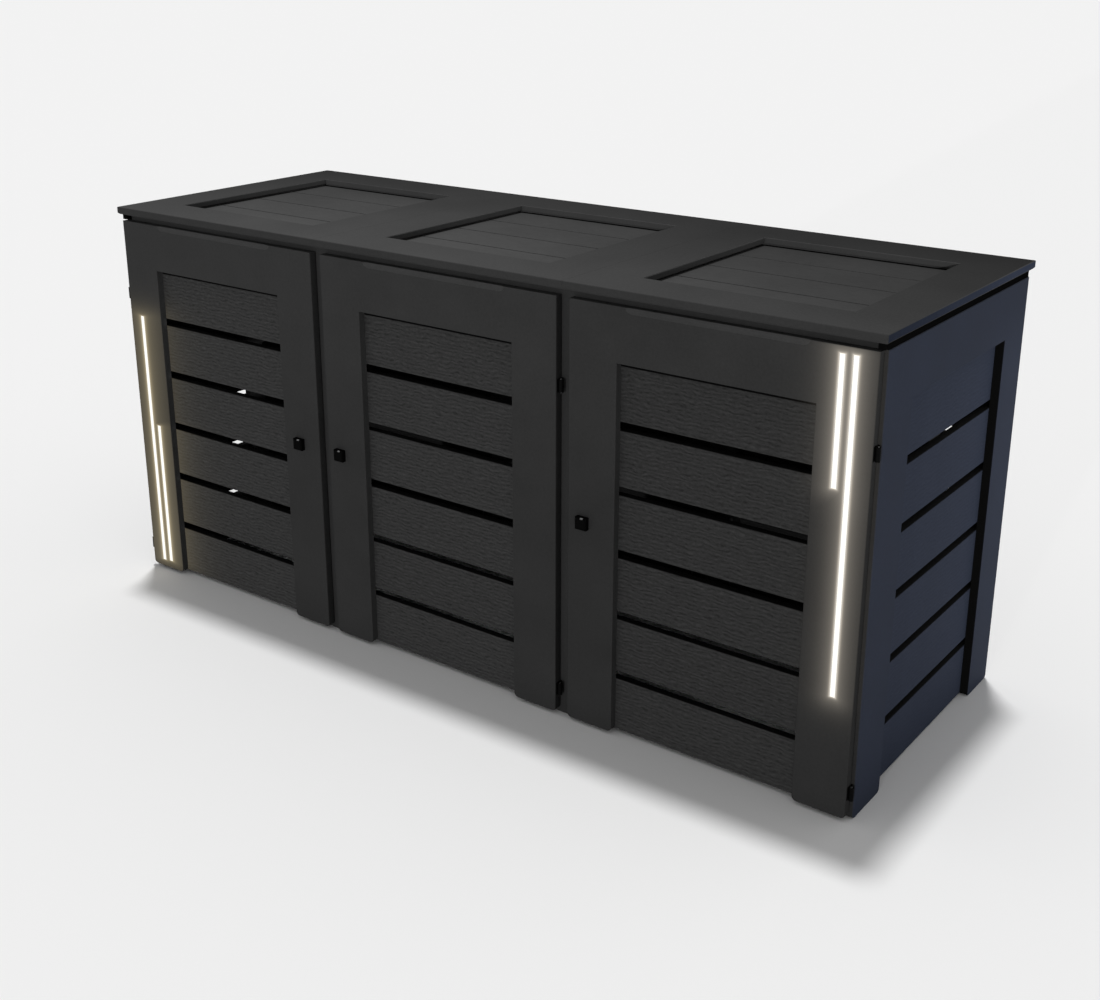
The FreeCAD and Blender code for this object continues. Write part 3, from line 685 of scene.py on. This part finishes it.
def paintFittings():
    ends = ("left", "right")
    gland = smoothBoard("glandPlastic", plastics["glandGreys"], gloss=plastics["gloss"])
    leaves = [name for name in nodes if "hinge" in name and "pins" not in name]
    dress(leaves, metalFinish("hingeBlack"))
    dress(["door_hinge_pins", "lid_hinge_pins"], metalFinish("pinSteel"))
    dress(["catch_magnets"], smoothBoard("catchCase", plastics["catchGreys"], gloss=plastics["gloss"]))
    dress([f"door_strike_{bay}" for bay in bays], metalFinish("strikeSteel"))
    dress([f"led_profiles_{end}" for end in ends], metalFinish("ledChannel"))
    dress([f"led_diffusers_{end}" for end in ends], litLens())
    dress([f"led_gland_{end}" for end in ends], gland)


screws = {
    "headRadius": 0.0038, "headHeight": 0.0009,
    "headSides": 18,
    "headCrown": 0.8,           # share of the radius at the top
    "socketRadius": 0.0017, "socketDepth": 0.0006,
    "socketSides": 6,           # a hexagonal recess
    "seed": 7,
    "slatEndInset": 0.045,      # from a slat's end, over the middle of the stile that carries it
    "slatEdgeInset": 0.030,
    "lidEndInset": 0.020,
    "leafSpacing": 0.020,       # between the two screws of a hinge leaf
    "leafEdgeInset": 0.0065,
    "leafThickness": 0.0015,
}
screwInputs = {
    "points": "Geometry", "headRadius": "Float", "headHeight": "Float", "socketRadius": "Float",
    "socketDepth": "Float", "seed": "Int", "material": "Material",
}


# One low cone with a recess cut into its top.
def makeScrewHead(tree, given):
    join = tree.links.new
    head = addNode(tree, "GeometryNodeMeshCone")
    head.inputs["Vertices"].default_value = screws["headSides"]
    crown = addNode(tree, "ShaderNodeMath", operation="MULTIPLY")
    join(given["headRadius"], crown.inputs[0])
    crown.inputs[1].default_value = screws["headCrown"]
    join(given["headRadius"], head.inputs["Radius Bottom"])
    join(crown.outputs[0], head.inputs["Radius Top"])
    join(given["headHeight"], head.inputs["Depth"])

    recess = addNode(tree, "GeometryNodeMeshCylinder")
    recess.inputs["Vertices"].default_value = screws["socketSides"]
    join(given["socketRadius"], recess.inputs["Radius"])
    double = addNode(tree, "ShaderNodeMath", operation="MULTIPLY")      # half of it stands over the top
    join(given["socketDepth"], double.inputs[0])
    double.inputs[1].default_value = 2.0
    join(double.outputs[0], recess.inputs["Depth"])
    top = addNode(tree, "ShaderNodeCombineXYZ")
    join(given["headHeight"], top.inputs[z])
    lifted = addNode(tree, "GeometryNodeTransform")
    join(recess.outputs["Mesh"], lifted.inputs["Geometry"])
    join(top.outputs[0], lifted.inputs["Translation"])
    cut = addNode(tree, "GeometryNodeMeshBoolean", operation="DIFFERENCE")
    join(head.outputs["Mesh"], cut.inputs[0])
    join(lifted.outputs[0], cut.inputs[1])
    return cut


# Heads on points, each turned to the direction that its point carries, with a random twist.
def makeScrewTree():
    tree = bpy.data.node_groups.new("screwHeads", "GeometryNodeTree")
    sockets = {}
    for name, kind in screwInputs.items():
        socket = tree.interface.new_socket(name, in_out="INPUT", socket_type="NodeSocket" + kind)
        sockets[name] = socket.identifier
    tree.interface.new_socket("screws", in_out="OUTPUT", socket_type="NodeSocketGeometry")
    join = tree.links.new
    given = addNode(tree, "NodeGroupInput").outputs
    cut = makeScrewHead(tree, given)

    facing = addNode(tree, "GeometryNodeInputNamedAttribute", data_type="FLOAT_VECTOR")
    facing.inputs["Name"].default_value = "facing"
    align = addNode(tree, "FunctionNodeAlignRotationToVector", axis="Z")
    join(facing.outputs[0], align.inputs["Vector"])
    spread = addNode(tree, "GeometryNodeInstanceOnPoints")
    join(given["points"], spread.inputs["Points"])
    join(cut.outputs["Mesh"], spread.inputs["Instance"])
    join(align.outputs[0], spread.inputs["Rotation"])

    twist = addNode(tree, "FunctionNodeRandomValue", data_type="FLOAT")
    twistInputs = {socket.name: socket for socket in twist.inputs if socket.enabled}
    twistInputs["Min"].default_value = 0.0
    twistInputs["Max"].default_value = 2 * math.pi / screws["socketSides"]
    join(given["seed"], twistInputs["Seed"])
    about = addNode(tree, "ShaderNodeCombineXYZ")
    join(next(socket for socket in twist.outputs if socket.enabled), about.inputs[z])
    turned = addNode(tree, "GeometryNodeRotateInstances")
    join(spread.outputs[0], turned.inputs["Instances"])
    join(about.outputs[0], turned.inputs["Rotation"])

    real = addNode(tree, "GeometryNodeRealizeInstances")
    join(turned.outputs[0], real.inputs[0])
    paint = addNode(tree, "GeometryNodeSetMaterial")
    join(real.outputs[0], paint.inputs["Geometry"])
    join(given["material"], paint.inputs["Material"])
    join(paint.outputs[0], addNode(tree, "NodeGroupOutput").inputs[0])
    return tree, sockets


# Two screws at each end of every slat in a node, on the faces on one side of the thin axis.
def slatScrews(name, along, thin, side, endInset=screws["slatEndInset"]):
    across = x + y + z - along - thin
    edgeInset = screws["slatEdgeInset"]
    points = []
    for low, high in solidBoxes(name):
        face = high[thin] if side > 0 else low[thin]
        for end in (low[along] + endInset, high[along] - endInset):
            for edge in (low[across] + edgeInset, high[across] - edgeInset):
                place, facing = [0, 0, 0], [0, 0, 0]
                place[along], place[thin], place[across] = end, face, edge
                facing[thin] = side
                points.append((place, facing))
    return points


# Two screws on each rail leaf, whose plate lies on the back wall.
def leafScrews():
    points = []
    for low, high in solidBoxes("lid_hinge_rail_leaves"):
        middle = (low[x] + high[x]) / 2
        for aside in (-screws["leafSpacing"] / 2, screws["leafSpacing"] / 2):
            place = (middle + aside, low[y] + screws["leafThickness"], low[z] + screws["leafEdgeInset"])
            points.append((place, (0, 1, 0)))
    return points


# Places and directions of the screws on one body.
def screwPoints(body):
    if body == "carcass":
        ends = slatScrews("side_slats_left", y, x, 1) + slatScrews("side_slats_right", y, x, -1)
        return ends + slatScrews("back_slats", x, y, -1) + leafScrews()
    if body.startswith("door"):
        return slatScrews(body.replace("door", "door_slats"), x, y, 1)
    return slatScrews(body.replace("lid", "lid_boards"), x, z, -1, screws["lidEndInset"])


def addScrews():
    tree, sockets = makeScrewTree()
    steel = metalFinish("screwSteel")
    for body in bodies:
        points = screwPoints(body)
        mesh = bpy.data.meshes.new("screwPlaces")
        mesh.from_pydata([place for place, _ in points], [], [])
        facing = mesh.attributes.new("facing", "FLOAT_VECTOR", "POINT")
        for item, (_, direction) in zip(facing.data, points):
            item.vector = direction
        seat = addObject("screwPlaces", mesh)
        modifier = seat.modifiers.new("screws", "NODES")
        modifier.node_group = tree
        for name in ("headRadius", "headHeight", "socketRadius", "socketDepth", "seed"):
            modifier[sockets[name]] = screws[name]
        modifier[sockets["material"]] = steel.material
        depsgraph = bpy.context.evaluated_depsgraph_get()
        solid = bpy.data.meshes.new_from_object(seat.evaluated_get(depsgraph))
        bpy.data.objects.remove(seat)
        piece = addObject(f"{body}_screws", solid)
        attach(piece, body)


makeCamera()
makeLamps()
makeSky()
makeFloor()
print("camera and studio ready")
paintEnds()
paintBack()
paintDoors()
paintLids()
paintPosts()
paintFittings()
print("nodes painted")
addScrews()
print("screws driven")

bpy.context.scene.view_settings.view_transform = "Standard"
